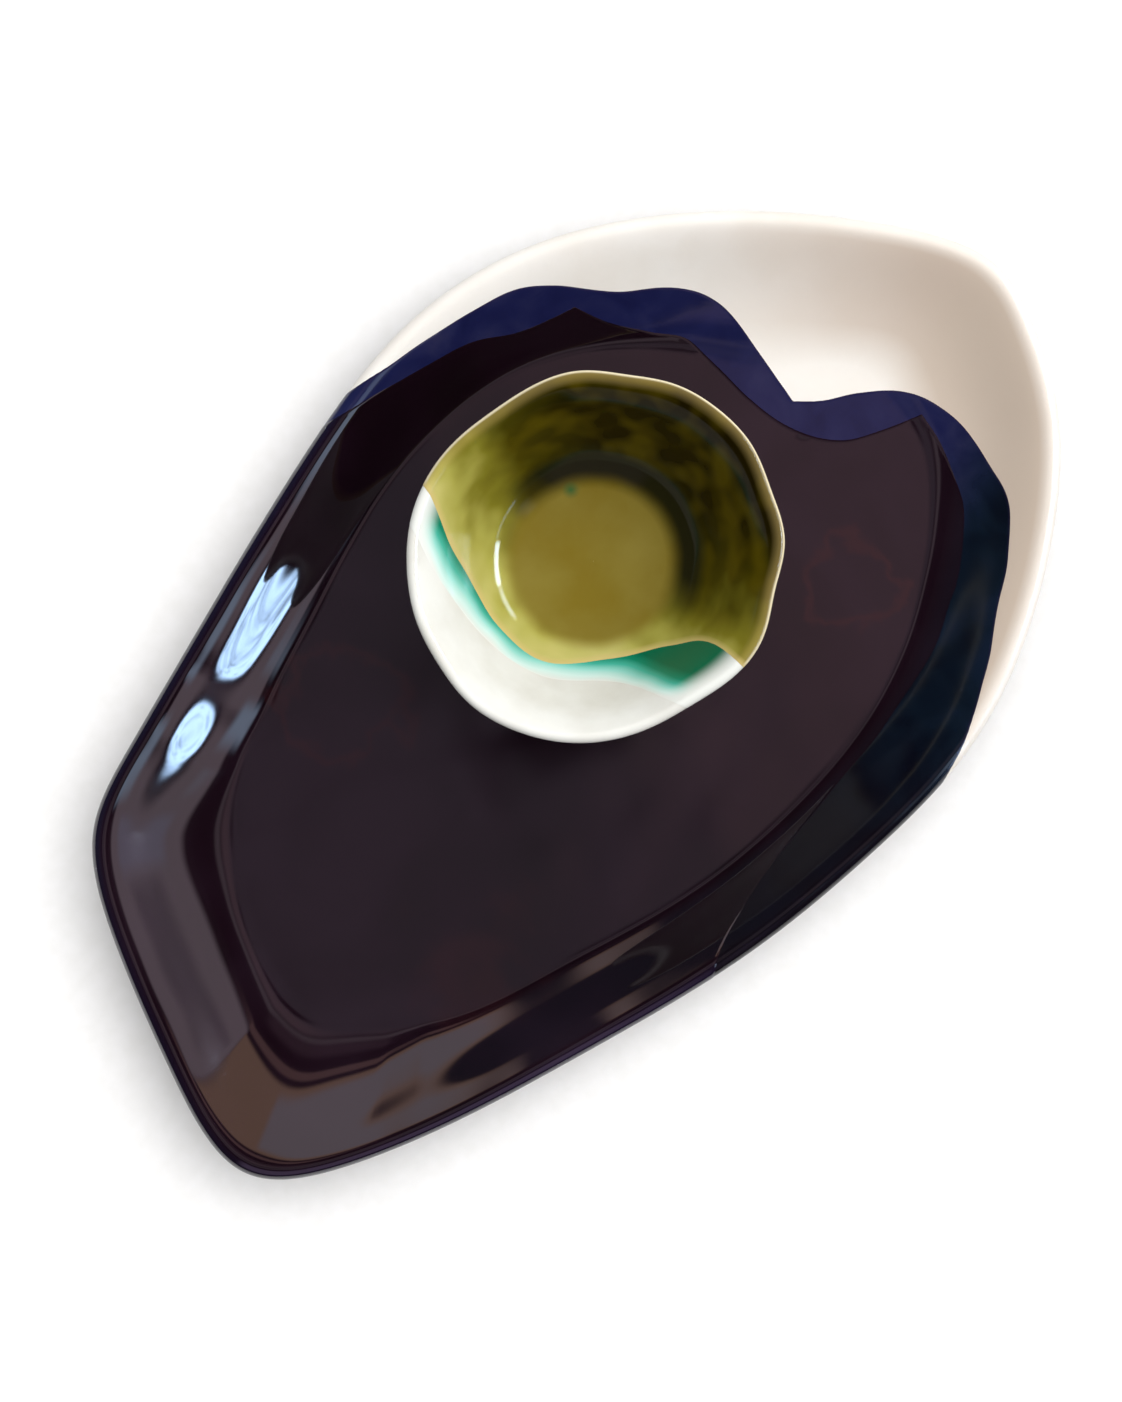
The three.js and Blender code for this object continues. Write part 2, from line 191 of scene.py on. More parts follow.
# Matt faces see a soft sky instead, brightest towards one side
sky_bearing = math.radians(42)
sky_height = math.radians(33)
bright_side = photo_right * math.cos(sky_bearing) + photo_up * math.sin(sky_bearing)
bright_side = bright_side * math.cos(sky_height) + Vector((0, 0, math.sin(sky_height)))
towards = put(tree, "ShaderNodeVectorMath", {0: direction, 1: bright_side}, operation="DOT_PRODUCT")
soft_sky = put(tree, "ShaderNodeMapRange", {
    "Value": towards, "From Min": -0.3, "From Max": 1, "To Min": 0.33, "To Max": 2.1},
    interpolation_type="SMOOTHSTEP")
above = put(tree, "ShaderNodeMapRange", {"Value": height, "From Min": 0.05, "From Max": 0.4, "To Min": 0.25},
            interpolation_type="SMOOTHSTEP")
soft_sky = put(tree, "ShaderNodeMath", {0: soft_sky, 1: above}, operation="MULTIPLY")
rays = put(tree, "ShaderNodeLightPath").outputs
shown = put(tree, "ShaderNodeMix", {0: rays["Is Glossy Ray"], 6: soft_sky, 7: surround}, data_type="RGBA")
shown = put(tree, "ShaderNodeMix", {0: rays["Is Camera Ray"], 6: shown, 7: "#fdfdfd"}, data_type="RGBA")
feed(tree, tree.nodes["Background"], {"Color": shown})

softbox_data = bpy.data.lights.new("softbox", "AREA")
softbox_data.size = 1.2
softbox_data.energy = 5
softbox_data.color = linear("#fffaf2")[:3]
softbox = bpy.data.objects.new("softbox", softbox_data)
softbox.location = photo_right * 1.1 + photo_up * 0.6 + Vector((0, 0, 1.5))
softbox.rotation_euler = softbox.location.to_track_quat("Z", "Y").to_euler()
softbox.visible_glossy = False
scene.collection.objects.link(softbox)

# Platter body: a rolled slab of pale stoneware slumped over a boat-shaped form, so that its wall curves
# up out of a flat floor to a rounded lip. A low foot ring is luted on underneath, and stays bare.
platter_length = 403
platter_width = 241.5
rim_height = 25
slab = 6.4
wall_steepness = 0.8
wall_runs = (40, 48)  # a short and a long run of wall
floor_blends = (0.3, 0.46)  # the share of each that curves up out of the floor
lip_reach = 9
foot_height = 3
foot_width = 9
foot_inset = 7
foot_taper = 0.8
glaze_stop = 0.52  # where the coats end on the outer face, as a share of the wall's curve from its foot
rim_stations = np.array([
    (202.5, -18, 60, 4), (189, 16, 58, 4), (159, 59, 50, 3), (115, 99, 40, 1), (64, 119, 34, 0),
    (10, 119, 29, 0), (-50, 110.5, 31, 0), (-112, 100, 38, 0.5), (-148, 88.5, 48, 0.5), (-171, 58, 44, 0),
    (-190, 20, 45, 0), (-202, -15, 56, 2), (-189, -41, 55, 2), (-145, -66.5, 37, 1), (-92, -88, 30, 0),
    (-35, -107.5, 28, 0), (22, -118.5, 30, 0), (76, -120.5, 36, 1), (128, -104.5, 40, 2), (172, -76, 46, 3),
    (195, -45, 54, 3)])  # x, y, run from the rim in to the flat floor, rise of the lip
thumb_marks = (
    (-80.4, 90.1, -0.2, 0.98, 8, 6, -0.75),
    (-100.7, 87, -0.2, 0.98, 8, 7, 0.45))  # x, y, way out, width out and along, push
floor_wave = 0.35  # share of the hand's waviness that is left on the flat floor
hem_swing = 1.3
hem_turns = 46
platter_around = 420
floor_rows = 34
floor_crowding = 0.75  # below 1 the floor's rows crowd towards the wall
wall_rows = 30
lip_rows = 12


def closed_curve(stations, steps):
    """Smooth closed curve through evenly numbered stations: the cubic B-spline that passes through all."""
    count = len(stations)
    beside = np.roll(np.eye(count), 1, axis=1) + np.roll(np.eye(count), -1, axis=1)
    controls = np.linalg.solve((4 * np.eye(count) + beside) / 6, stations)
    place = np.arange(steps) * count / steps
    i = place.astype(int)
    u = (place - i)[:, None]
    weights = ((1 - u) ** 3, 3 * u ** 3 - 6 * u ** 2 + 4, -3 * u ** 3 + 3 * u ** 2 + 3 * u + 1, u ** 3)
    return sum(weight * controls[(i + k - 1) % count] for k, weight in enumerate(weights)) / 6


def bezier(controls, shares):
    """Points of a Bezier curve, or of one curve for each station, and the way to the left of each."""
    points = [np.asarray(control)[None] for control in controls]
    t = shares.reshape(-1, *[1] * (points[0].ndim - 1))
    while len(points) > 2:
        points = [a + (b - a) * t for a, b in zip(points, points[1:])]
    along = points[1] - points[0]
    along = along / np.linalg.norm(along, axis=-1, keepdims=True)
    left = np.stack([-along[..., 1], along[..., 0]], axis=-1)
    return points[0] + (points[1] - points[0]) * t, left


def waviness(x, y, seed, shortest, longest, amount):
    """Slow seeded waves over the plan, of the given lengths and mean amount, in millimetres."""
    draw = np.random.default_rng(seed)
    waves = 9
    total = np.zeros_like(x)
    for _ in range(waves):
        turn, phase = draw.uniform(0, 2 * math.pi, 2)
        length = draw.uniform(shortest, longest)
        way = x * math.cos(turn) + y * math.sin(turn)
        total += np.sin(2 * math.pi * way / length + phase) * length / longest
    return total * amount / math.sqrt(waves / 2)


rim = closed_curve(rim_stations, platter_around)
drawn_low, drawn_high = rim[:, :2].min(axis=0), rim[:, :2].max(axis=0)
drawn_middle = (drawn_low + drawn_high) / 2
plan_stretch = np.array([platter_length, platter_width]) / (drawn_high - drawn_low)
rim_plan = (rim[:, :2] - drawn_middle) * plan_stretch
run, rise = rim[:, 2], rim[:, 3]
inward = -rim_plan * (platter_width / platter_length, 1)
inward /= np.linalg.norm(inward, axis=1, keepdims=True)

platter_floor = foot_height + slab
lip_radius = slab / 2
lip_top = rim_height + rise
slope = wall_steepness * np.arctan2(lip_top - platter_floor, run)
up_wall = np.stack([np.cos(slope), np.sin(slope)], axis=1)
off_wall = np.stack([-np.sin(slope), np.cos(slope)], axis=1)
lip_centre = np.stack([np.full_like(run, -lip_radius), lip_top - lip_radius], axis=1)
wall_top = lip_centre + off_wall * lip_radius
wall_foot = np.stack([-run, np.full_like(run, platter_floor)], axis=1)
floor_blend = np.interp(run, wall_runs, floor_blends)
blend_end = np.stack([-run * (1 - floor_blend), np.full_like(run, platter_floor)], axis=1)
wall_shares = np.linspace(0, 1, wall_rows)
inner, off_inner = bezier([wall_foot, blend_end, wall_top - up_wall * lip_reach, wall_top], wall_shares)
lip_turn = np.linspace(0, math.pi, lip_rows + 2)[1:-1, None, None]
lip = lip_centre + lip_radius * (np.cos(lip_turn) * off_wall + np.sin(lip_turn) * up_wall)
outer = (inner - off_inner * slab)[::-1]
wall_line = np.concatenate([inner, lip, outer])
wall_wave = floor_wave + (1 - floor_wave) * wall_shares
wave_share = np.concatenate([wall_wave, np.ones(lip_rows), wall_wave[::-1]])

steps_along = np.linalg.norm(np.diff(wall_line, axis=0), axis=2)
walked = np.concatenate([np.zeros((1, platter_around)), np.cumsum(steps_along, axis=0)])
from_crest = walked - walked[wall_rows + lip_rows // 2]
glaze_row = wall_rows + lip_rows + int(wall_rows * (1 - glaze_stop))
hem_draw = np.random.default_rng(3)
hem_wander = closed_curve(hem_draw.uniform(-hem_swing, hem_swing, (hem_turns, 1)), platter_around)[:, 0]
above_hem = walked[glaze_row] + hem_wander - walked

well_edge = rim_plan + inward * run[:, None]
floor_shares = ((np.arange(1, floor_rows) / floor_rows) ** floor_crowding)[:, None, None]
floor_plan = well_edge * floor_shares
wall_plan = rim_plan - inward * wall_line[..., :1]


def lifted(plan, level, share):
    """Points in metres from places on the plan and their heights, with waviness and thumb marks."""
    x, y = plan[..., 0], plan[..., 1]
    slow = waviness(x, y, seed=7, shortest=45, longest=120, amount=0.3)
    quick = waviness(x, y, seed=5, shortest=18, longest=40, amount=0.05)
    level = level + share * (slow + quick)
    for mark_x, mark_y, out_x, out_y, across, along, push in thumb_marks:
        outward = ((x - mark_x) * out_x + (y - mark_y) * out_y) / across
        sideways = ((y - mark_y) * out_x - (x - mark_x) * out_y) / along
        level = level + push * outward * np.exp(-(outward ** 2 + sideways ** 2) / 2)
    return np.concatenate([plan, level[..., None]], axis=-1) * MM


floor_points = lifted(floor_plan, np.full(floor_plan.shape[:2], platter_floor), floor_wave)
wall_points = lifted(wall_plan, wall_line[..., 1], wave_share[:, None])
centre_point = lifted(np.zeros((1, 2)), np.array([platter_floor]), floor_wave)
foot_edge = -run - foot_inset
soft = 0.5  # rounding of the foot ring's edges
foot_line = [
    (foot_edge + foot_taper, foot_height), (foot_edge + 0.4 * foot_taper, foot_height * 0.4),
    (foot_edge, soft), (foot_edge - 0.3 * soft, 0.3 * soft), (foot_edge - soft, 0),
    (foot_edge - foot_width + soft, 0),
    (foot_edge - foot_width + 0.3 * soft, 0.3 * soft), (foot_edge - foot_width, soft),
    (foot_edge - foot_width - foot_taper, foot_height)]
foot_points = np.stack([
    np.concatenate([rim_plan - inward * out[:, None], np.full((platter_around, 1), level)], axis=1)
    for out, level in foot_line]) * MM


def ring_faces(rows, around):
    """Faces of rings of points round a first point on the axis."""
    at = 1 + np.arange(rows)[:, None] * around + np.arange(around)
    after = np.roll(at, -1, axis=1)
    fan = [(0, a, b) for a, b in zip(at[0], after[0])]
    quads = np.stack([at[:-1], at[1:], after[1:], after[:-1]], axis=-1).reshape(-1, 4)
    return fan + [tuple(quad) for quad in quads.tolist()]


def new_piece(name, mesh):
    """An object at the origin for a finished mesh."""
    mesh.name = name
    piece = bpy.data.objects.new(name, mesh)
    scene.collection.objects.link(piece)
    return piece


clay_rings = np.concatenate([floor_points, wall_points, foot_points])
under_point = np.array([[0, 0, foot_height * MM]])
clay_points = np.concatenate([centre_point, clay_rings.reshape(-1, 3), under_point])
clay_faces = ring_faces(len(clay_rings), platter_around)
last_ring = np.arange(len(clay_points) - 1 - platter_around, len(clay_points) - 1)
clay_faces += [(a, len(clay_points) - 1, b) for a, b in zip(last_ring, np.roll(last_ring, -1))]
clay_mesh = bpy.data.meshes.new("platter_clay")
clay_mesh.from_pydata(clay_points, [], clay_faces)
clay_mesh.shade_smooth()
platter_clay = new_piece("platter_clay", clay_mesh)

# Fired stoneware, bare: a warm buff ground with dark iron specks and a fine sandy tooth
stoneware, tree, shader, position = new_material("bare buff stoneware")
cloud = put(tree, "ShaderNodeTexNoise", {"Vector": position, "Scale": 1 / (30 * MM), "Detail": 4})
buff = put(tree, "ShaderNodeValToRGB", {"Fac": cloud}, stops=[
    (0.3, "#bfa583"), (0.5, "#cdb99c"), (0.75, "#d8c8ae")])
speck = put(tree, "ShaderNodeTexVoronoi", {"Vector": position, "Scale": 1 / (2.4 * MM)})
iron = put(tree, "ShaderNodeMapRange", {
    "Value": speck, "From Min": 0.1, "From Max": 0.16, "To Min": 0.75, "To Max": 0})
colour = put(tree, "ShaderNodeMix", {0: iron, 6: buff, 7: "#6b4f38"}, data_type="RGBA")
sand = put(tree, "ShaderNodeTexNoise", {"Vector": position, "Scale": 1 / (0.7 * MM), "Detail": 3})
tooth = put(tree, "ShaderNodeBump", {"Height": sand, "Strength": 0.5, "Distance": 0.1 * MM})
feed(tree, shader, {"Base Color": colour, "Roughness": 0.85, "Normal": tooth})
clay_mesh.materials.append(stoneware)
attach(platter_clay, "platter")
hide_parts("platter_body")

# Cream glaze: the satin liner coat that is poured over the whole platter and left showing at the narrow
# end. It is a glass layer fused to the clay, and ends in a soft roll above the foot.
coated_rows = glaze_row + 6  # a few rows further than the hem wanders
platter_rings = np.concatenate([floor_points, wall_points[:coated_rows]])
flat_rows = np.zeros((floor_rows - 1, platter_around))
far = 1e3  # stands on the floor for the way to the hem and the crest, which are out of reach there
platter_surface = {
    "points": np.concatenate([centre_point, platter_rings.reshape(-1, 3)]),
    "faces": ring_faces(len(platter_rings), platter_around),
    "hem": np.concatenate([[far], (flat_rows + far).ravel(), above_hem[:coated_rows].ravel()]) * MM,
    "crest": np.concatenate([[-far], (flat_rows - far).ravel(), from_crest[:coated_rows].ravel()]) * MM,
}


def drawn_line(lobes, steps=8):
    """Smooth line through the points of each lobe in turn."""
    pieces = []
    for lobe in lobes:
        points = np.array(lobe, float)
        padded = np.concatenate([points[:1], points, points[-1:]])
        u = np.linspace(0, 1, steps, endpoint=False)[:, None]
        for before, a, b, after in zip(padded, padded[1:], padded[2:], padded[3:]):
            start, end = (b - before) / 2, (after - a) / 2
            bend = (2 * (a - b) + start + end) * u ** 3 + (3 * (b - a) - 2 * start - end) * u ** 2
            pieces.append(bend + start * u + a)
    return np.concatenate([*pieces, points[-1:]])


def depth_in(places, line):
    """How far places lie inside a line on the plan, on its -X side; outside it is negative."""
    at_a_time = 3000
    start, span = line[:-1], np.diff(line, axis=0)
    depth = np.empty(len(places))
    for block in np.array_split(np.arange(len(places)), len(places) // at_a_time + 1):
        gap = places[block, None, :2] - start
        share = np.clip((gap * span).sum(axis=2) / (span ** 2).sum(axis=1), 0, 1)
        nearest = np.linalg.norm(gap - share[..., None] * span, axis=2).min(axis=1)
        beside = (gap[..., 1] < 0) != (gap[..., 1] < span[:, 1])
        level = np.where(span[:, 1] == 0, 1, span[:, 1])
        passed = beside & (gap[..., 0] < gap[..., 1] / level * span[:, 0])
        depth[block] = np.where(passed.sum(axis=1) % 2 == 1, nearest, -nearest)
    return depth


def edge_wander(places):
    """Small wandering of a dipped edge, where the glaze crept, in metres."""
    x, y = places[:, 0] / MM, places[:, 1] / MM
    return waviness(x, y, seed=11, shortest=10, longest=36, amount=0.2) * MM


def glazed_patch(surface, depth_of):
    """The part of a clay surface that one coat covers, with finer faces along its edge. Its attributes
    are cover, the way in from the coat's edge, and crest, the way over the lip."""
    margin = 2.5 * MM  # on both sides of the coat's edge
    points, hem = surface["points"], surface["hem"]
    depth = depth_of(points)
    cover = np.minimum(depth, hem)
    kept = [face for face in surface["faces"] if max(cover[i] for i in face) > -margin]
    bm = bmesh.new()
    layers = {key: bm.verts.layers.float.new(key) for key in ("hem", "crest", "cover")}
    corner = {}
    for i in sorted({i for face in kept for i in face}):
        corner[i] = bm.verts.new(points[i])
        corner[i][layers["hem"]] = hem[i]
        corner[i][layers["crest"]] = surface["crest"][i]
    crossed = set()
    for face in kept:
        made = bm.faces.new([corner[i] for i in face])
        if min(depth[i] for i in face) < margin and max(depth[i] for i in face) > -margin:
            crossed.update(made.edges)
    bmesh.ops.subdivide_edges(bm, edges=list(crossed), cuts=3, use_grid_fill=True)
    mesh = bpy.data.meshes.new("patch")
    bm.to_mesh(mesh)
    bm.free()
    places = np.empty(len(mesh.vertices) * 3)
    mesh.vertices.foreach_get("co", places)
    hems = np.empty(len(mesh.vertices))
    mesh.attributes["hem"].data.foreach_get("value", hems)
    cover = np.minimum(depth_of(places.reshape(-1, 3)), hems)
    mesh.attributes["cover"].data.foreach_set("value", cover)
    mesh.attributes.remove(mesh.attributes["hem"])
    return mesh


def new_tree(name, result, kinds):
    """A tree of geometry nodes with named inputs, the inputs' identifiers, and their sockets inside it."""
    tree = bpy.data.node_groups.new(name, "GeometryNodeTree")
    identifiers = {}
    for label, kind in kinds.items():
        socket = tree.interface.new_socket(label, in_out="INPUT", socket_type="NodeSocket" + kind)
        identifiers[label] = socket.identifier
    tree.interface.new_socket(result, in_out="OUTPUT", socket_type="NodeSocketGeometry")
    return tree, identifiers, put(tree, "NodeGroupInput").outputs


def end_tree(tree, shape, material):
    """Closes and smooths the shape that a tree makes, gives it its material and hands it out."""
    merged = put(tree, "GeometryNodeMergeByDistance", {"Geometry": shape, "Distance": 0.001 * MM})
    smooth = put(tree, "GeometryNodeSetShadeSmooth", {"Geometry": merged, "Shade Smooth": True})
    whole = put(tree, "GeometryNodeRealizeInstances", {"Geometry": smooth})
    finished = put(tree, "GeometryNodeSetMaterial", {"Geometry": whole, "Material": material})
    put(tree, "NodeGroupOutput", {0: finished})


def made_by(tree, identifiers, name, mesh, sizes):
    """The plain mesh that a tree of geometry nodes makes from a mesh, as a piece of its own."""
    source = bpy.data.objects.new(name, mesh)
    scene.collection.objects.link(source)
    modifier = source.modifiers.new(tree.name, "NODES")
    modifier.node_group = tree
    for label, value in sizes.items():
        modifier[identifiers[label]] = value
    made = bpy.data.meshes.new_from_object(source.evaluated_get(bpy.context.evaluated_depsgraph_get()))
    bpy.data.objects.remove(source)
    return new_piece(name, made)


# The coat's face is the clay's own, lifted by the thickness and rolled down at its edge to meet its bed,
# which is sunk into the clay
coat_tree, coat_inputs, given = new_tree("Dipped coat", "Coat", {
    "Clay": "Geometry", "Thickness": "Float", "Roll": "Float", "Sink": "Float", "Glaze": "Material"})
roll, sink = given["Roll"], given["Sink"]
cover = put(coat_tree, "GeometryNodeInputNamedAttribute", {"Name": "cover"}, data_type="FLOAT")
outside = put(coat_tree, "ShaderNodeMath", {0: 0.0, 1: roll}, operation="SUBTRACT")
buried = put(coat_tree, "ShaderNodeMath", {0: 0.0, 1: sink}, operation="SUBTRACT")
bare = put(coat_tree, "FunctionNodeCompare", {0: cover, 1: outside},
           data_type="FLOAT", operation="LESS_EQUAL")
clay = put(coat_tree, "GeometryNodeDeleteGeometry", {"Geometry": given["Clay"], "Selection": bare},
           domain="FACE")
level = put(coat_tree, "ShaderNodeMapRange", {
    "Value": cover, "From Min": outside, "From Max": roll, "To Min": buried, "To Max": given["Thickness"]})
facing_out = put(coat_tree, "GeometryNodeInputNormal")
rise_by = put(coat_tree, "ShaderNodeVectorMath", {0: facing_out, "Scale": level}, operation="SCALE")
sink_by = put(coat_tree, "ShaderNodeVectorMath", {0: facing_out, "Scale": buried}, operation="SCALE")
top = put(coat_tree, "GeometryNodeSetPosition", {"Geometry": clay, "Offset": rise_by})
bed = put(coat_tree, "GeometryNodeSetPosition", {"Geometry": clay, "Offset": sink_by})
bed = put(coat_tree, "GeometryNodeFlipFaces", {0: bed})
both = put(coat_tree, "GeometryNodeJoinGeometry", {0: bed})
feed(coat_tree, both, {0: top})
end_tree(coat_tree, both, given["Glaze"])


def dipped_coat(name, surface, depth_of, thickness, roll, glaze):
    """One coat of glaze on a clay surface, grown out of it from the coat's edge inwards."""
    sink = 0.25  # of its bed into the clay
    sizes = {"Thickness": thickness * MM, "Roll": roll * MM, "Sink": sink * MM, "Glaze": glaze}
    return made_by(coat_tree, coat_inputs, name, glazed_patch(surface, depth_of), sizes)


def on_plan(lobes):
    """Points drawn on the photograph's plan, in metres on the platter."""
    return (drawn_line(lobes) - drawn_middle) * plan_stretch * MM


navy_edge = on_plan([
    [(-30, 155), (8, 128), (41, 117.5), (73, 108.5), (91, 101), (102, 91), (114, 74), (129, 58), (134, 44),
     (132, 28), (125, 2)],
    [(125, 2), (132, -6), (142, -13.5), (152, -25), (156.5, -40), (154, -57), (147, -75), (138, -85),
     (120, -96), (97, -108.5), (75, -118), (52, -123), (20, -135), (-20, -160)]])
lap_under = 2.5 * MM  # reach of a coat under the next one

# Satin white glaze: warm cream, with painted shade in tan up the wall and over the lip on the side that
# faces away from the light, and pale again on the lip's crest
cream, tree, shader, position = new_material("satin cream glaze")
cloud = put(tree, "ShaderNodeTexNoise", {"Vector": position, "Scale": 1 / (40 * MM), "Detail": 5})
milk = put(tree, "ShaderNodeValToRGB", {"Fac": cloud}, stops=[
    (0.3, "#e8e2da"), (0.5, "#eeeae4"), (0.7, "#ebe6df")])
over_lip = put(tree, "ShaderNodeAttribute", attribute_name="crest").outputs["Fac"]
lip_share = put(tree, "ShaderNodeMapRange", {"Value": over_lip, "From Min": -60 * MM, "From Max": 12 * MM})
# Painted shade: tan up the wall and down the outer face, only on the side whose wall faces away from the
# light; the crest stays pale
lip_break_and_painted_shade = put(tree, "ShaderNodeValToRGB", {"Fac": lip_share}, stops=[
    (0.0, 0.15), (0.25, 0.85), (0.72, 0.9), (0.8, 0.2), (0.88, 0), (1.0, 0.8)])
along = put(tree, "ShaderNodeVectorMath", {0: position, 1: photo_right}, operation="DOT_PRODUCT")
painted_shade_side = put(tree, "ShaderNodeMapRange", {"Value": along, "From Min": 15 * MM, "From Max": 135 * MM},
              interpolation_type="SMOOTHSTEP")
lip_break_and_painted_shade = put(tree, "ShaderNodeMath", {0: lip_break_and_painted_shade, 1: painted_shade_side}, operation="MULTIPLY")
milk = put(tree, "ShaderNodeMix", {0: lip_break_and_painted_shade, 6: milk, 7: "#c6b3a1"}, data_type="RGBA")
peel = put(tree, "ShaderNodeTexNoise", {"Vector": position, "Scale": 1 / (5 * MM), "Detail": 2})
skin = put(tree, "ShaderNodeBump", {"Height": peel, "Strength": 0.25, "Distance": 0.08 * MM})
feed(tree, shader, {"Base Color": milk, "Roughness": 0.36, "IOR": 1.5, "Normal": skin})
cream_coat = dipped_coat(
    "platter_cream_coat", platter_surface, lambda places: lap_under - depth_in(places, navy_edge),
    thickness=0.75, roll=1.1, glaze=cream)
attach(cream_coat, "platter")
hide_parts("platter_cream_glaze")

# Navy glaze: the first dip, over the cream, with the platter held by its narrow end. Its edge hangs in
# two lobes with a notch between them.
aubergine_edge = on_plan([
    [(-36, 150), (3, 125.5), (38, 114), (67, 103), (81, 92.5), (93, 86), (102, 82.5)],
    [(102, 82.5), (106, 69), (112, 57), (119, 46), (119, 34), (117, 14), (119, -5), (125, -17.5), (136, -26),
     (152, -34.5)],
    [(152, -34.5), (147, -49), (138, -66), (126, -76.5), (109, -86), (86, -94), (52, -97.5), (14, -98),
     (-22, -100), (-50, -108), (-80, -130)]])

# Gloss cobalt glaze: deep blue-violet, clouded where it ran, and painted darker on the low side, into
# teal-black and near black towards the broad end: painted shade on the wall that faces away from the light,
# over the glaze's own teal tone where it pooled
navy, tree, shader, position = new_material("gloss cobalt glaze")
cloud = put(tree, "ShaderNodeTexNoise", {
    "Vector": position, "Scale": 1 / (24 * MM), "Detail": 6, "Distortion": 0.6})
blue = put(tree, "ShaderNodeValToRGB", {"Fac": cloud}, stops=[
    (0.3, "#12153a"), (0.45, "#181b42"), (0.58, "#212347"), (0.72, "#2d2c4a")])
# Painted shade: teal-black towards the low side, and near black where that side nears the broad end
low_side = put(tree, "ShaderNodeSeparateXYZ", {0: position}).outputs["Y"]
painted_dark_side = put(tree, "ShaderNodeMapRange", {
    "Value": low_side, "From Min": -78 * MM, "From Max": -40 * MM, "To Min": 0.92, "To Max": 0},
    interpolation_type="SMOOTHSTEP")
deep = put(tree, "ShaderNodeValToRGB", {"Fac": cloud}, stops=[
    (0.35, "#04080f"), (0.5, "#08131b"), (0.65, "#0c1828")])
broad_end = put(tree, "ShaderNodeSeparateXYZ", {0: position}).outputs["X"]
darkened = put(tree, "ShaderNodeMapRange", {
    "Value": broad_end, "From Min": 10 * MM, "From Max": 75 * MM, "To Min": 0.95, "To Max": 0},
    interpolation_type="SMOOTHSTEP")
darkened = put(tree, "ShaderNodeMath", {0: darkened, 1: painted_dark_side}, operation="MULTIPLY")
inside = put(tree, "ShaderNodeAttribute", attribute_name="cover").outputs["Fac"]
rimmed = put(tree, "ShaderNodeMapRange", {
    "Value": inside, "From Min": 0.3 * MM, "From Max": 1.6 * MM, "To Min": 0.8, "To Max": 0})
for share, tint in ((painted_dark_side, deep), (darkened, "#0d060c"), (rimmed, "#241c3a")):
    blue = put(tree, "ShaderNodeMix", {0: share, 6: blue, 7: tint}, data_type="RGBA")
feed(tree, shader, {"Base Color": blue, "Roughness": 0.12, "IOR": 1.52})
navy_coat = dipped_coat(
    "platter_navy_coat", platter_surface,
    lambda places: np.minimum(depth_in(places, navy_edge) + edge_wander(places),
                              2 * lap_under - depth_in(places, aubergine_edge)),
    thickness=0.9, roll=1.0, glaze=navy)
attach(navy_coat, "platter")
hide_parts("platter_navy_glaze")

# Aubergine glaze: the second dip, over the navy and further back, in three lobes. It is the thickest
# coat, so its edge is a ledge that can be felt.
bloom_sway = 60
blooms = (
    (86, -56, 15, 4, 0.65), (-58, 54, 20, 4, 0.4), (-100, -36, 12, 14, 0.3))  # x, y, radius, band, strength

# Gloss iron glaze: brown-violet to black, with rings of maroon cloud where it pooled
aubergine, tree, shader, position = new_material("gloss aubergine glaze")
cloud = put(tree, "ShaderNodeTexNoise", {
    "Vector": position, "Scale": 1 / (55 * MM), "Detail": 5, "Distortion": 0.8})
brown = put(tree, "ShaderNodeValToRGB", {"Fac": cloud}, stops=[
    (0.3, "#0f060b"), (0.5, "#140810"), (0.7, "#1a0e17")])
sway = put(tree, "ShaderNodeTexNoise", {"Vector": position, "Scale": 1 / (22 * MM), "Detail": 4})
for bloom_x, bloom_y, radius, band, strength in blooms:
    middle = (bloom_x * MM, bloom_y * MM, platter_floor * MM)
    reach = put(tree, "ShaderNodeVectorMath", {0: position, 1: middle}, operation="DISTANCE")
    reach = put(tree, "ShaderNodeMath", {0: sway, 1: bloom_sway * MM, 2: reach}, operation="MULTIPLY_ADD")
    reach = put(tree, "ShaderNodeMath", {0: reach, 1: (radius + bloom_sway / 2) * MM}, operation="SUBTRACT")
    reach = put(tree, "ShaderNodeMath", {0: reach}, operation="ABSOLUTE")
    bloom = put(tree, "ShaderNodeMapRange", {
        "Value": reach, "From Max": band * MM, "To Min": strength, "To Max": 0},
        interpolation_type="SMOOTHSTEP")
    brown = put(tree, "ShaderNodeMix", {0: bloom, 6: brown, 7: "#2a1012"}, data_type="RGBA")
over_lip = put(tree, "ShaderNodeAttribute", attribute_name="crest").outputs["Fac"]
lip_share = put(tree, "ShaderNodeMapRange", {"Value": over_lip, "From Min": -8 * MM, "From Max": 8 * MM})
lip_break_and_painted_shade = put(tree, "ShaderNodeValToRGB", {"Fac": lip_share}, stops=[
    (0.2, 0), (0.45, 0.7), (0.6, 0.7), (0.85, 0)])
brown = put(tree, "ShaderNodeMix", {0: lip_break_and_painted_shade, 6: brown, 7: "#1a1430"}, data_type="RGBA")
inside = put(tree, "ShaderNodeAttribute", attribute_name="cover").outputs["Fac"]
rimmed = put(tree, "ShaderNodeMapRange", {
    "Value": inside, "From Min": 0.6 * MM, "From Max": 1.9 * MM, "To Min": 0.85, "To Max": 0})
colour = put(tree, "ShaderNodeMix", {0: rimmed, 6: brown, 7: "#08050c"}, data_type="RGBA")
feed(tree, shader, {"Base Color": colour, "Roughness": 0.05, "IOR": 1.71})
aubergine_coat = dipped_coat(
    "platter_aubergine_coat", platter_surface,
    lambda places: depth_in(places, aubergine_edge) + edge_wander(places),
    thickness=1.0, roll=2.4, glaze=aubergine)
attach(aubergine_coat, "platter")
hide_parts("platter_aubergine_glaze")

